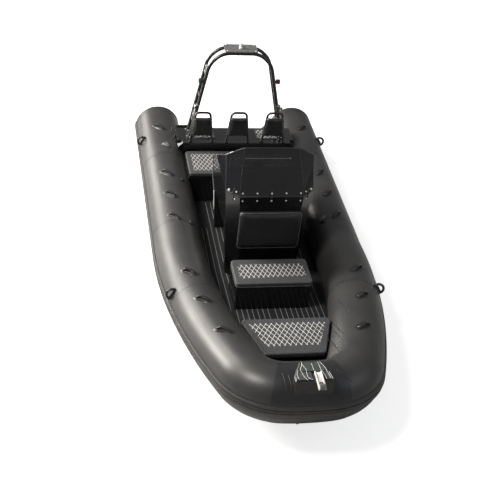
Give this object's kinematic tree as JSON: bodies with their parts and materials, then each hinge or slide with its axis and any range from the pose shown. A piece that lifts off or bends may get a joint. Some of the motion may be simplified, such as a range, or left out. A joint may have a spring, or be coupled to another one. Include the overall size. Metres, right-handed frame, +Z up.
{
  "type": "inflatable rib boat",
  "caption": "Open rigid inflatable boat: inflated collar round a V hull, with a steering console, roll bar, padded seats, lockers and a bow roller.",
  "frame": {"origin": "on the centreline, where the transom's aft face meets the waterline", "axes": "+X to the bow, +Y to port, +Z up"},
  "size_m": [5.2652, 2.167, 1.8497],
  "materials": {
    "collar": "satin coated fabric",
    "strake": "satin",
    "hull": "gloss gelcoat",
    "mat": "foam with pale grooves",
    "pad": "foam with pale diamond grooves",
    "cushion": "satin coated cloth",
    "moulding": "gloss gelcoat",
    "frame": "gloss powder coat",
    "plate": "textured",
    "steel": "satin",
    "screen": "smoked",
    "grip": "matte",
    "lens": "clear",
    "lamp": "gloss"
  },
  "bodies": {
    "boat": {"hull": "hull", "deck_mat": "mat", "tube_collar": "collar", "tube_cones": "strake", "rub_strake": "strake", "line_loops": "grip", "tow_rings": "grip", "valves": "grip", "transom": "moulding", "motor_pad": "grip", "stern_eyes": "steel", "bench_box": "moulding", "bench_back": "moulding", "aft_shelf": "moulding", "backrest_frames": "frame", "backrest_pads": "cushion", "arch_front_hoop": "frame", "arch_rear_hoop": "frame", "arch_feet": "frame", "arch_top_plate": "plate", "masthead_light": "lens", "nav_light_port": "lamp", "nav_light_starboard": "lamp", "console_body": "moulding", "windshield": "screen", "windshield_brackets": "frame", "front_rest": "cushion", "helm_bearing": "lamp", "throttle": "lamp", "front_seat_box": "moulding", "bow_locker_box": "moulding", "foredeck": "moulding", "bow_step": "moulding", "roller_bracket": "steel", "bow_eye": "steel"},
    "bench_lid": {"bench_lid": "moulding", "bench_pad": "pad"},
    "front_seat_lid": {"front_seat_lid": "moulding", "front_seat_pad": "pad"},
    "bow_locker_lid": {"bow_locker_lid": "moulding", "bow_locker_pad": "pad"},
    "steering_wheel": {"steering_wheel": "grip"},
    "bow_roller": {"bow_roller": "plate"}
  },
  "joints": [
    {"name": "bench_lid_hinge", "type": "hinge", "parent": "boat", "child": "bench_lid", "pos_m": [0.537, 0, 0.488], "axis": [0, -1, 0], "range_deg": [0, 70]},
    {"name": "front_seat_lid_hinge", "type": "hinge", "parent": "boat", "child": "front_seat_lid", "pos_m": [2.5415, 0, 0.4566], "axis": [0, -1, 0], "range_deg": [0, 80]},
    {"name": "bow_locker_lid_hinge", "type": "hinge", "parent": "boat", "child": "bow_locker_lid", "pos_m": [3.44467, 0, 0.4706], "axis": [0, -1, 0], "range_deg": [0, 80]},
    {"name": "steering_wheel_spin", "type": "hinge", "parent": "boat", "child": "steering_wheel", "pos_m": [1.65406, 0, 1.01065], "axis": [-0.5098, 0, 0.8603], "range_deg": [-540, 540]},
    {"name": "bow_roller_spin", "type": "hinge", "parent": "boat", "child": "bow_roller", "pos_m": [4.59917, 0.035, 0.82466], "axis": [0, 1, 0], "continuous": true}
  ]
}
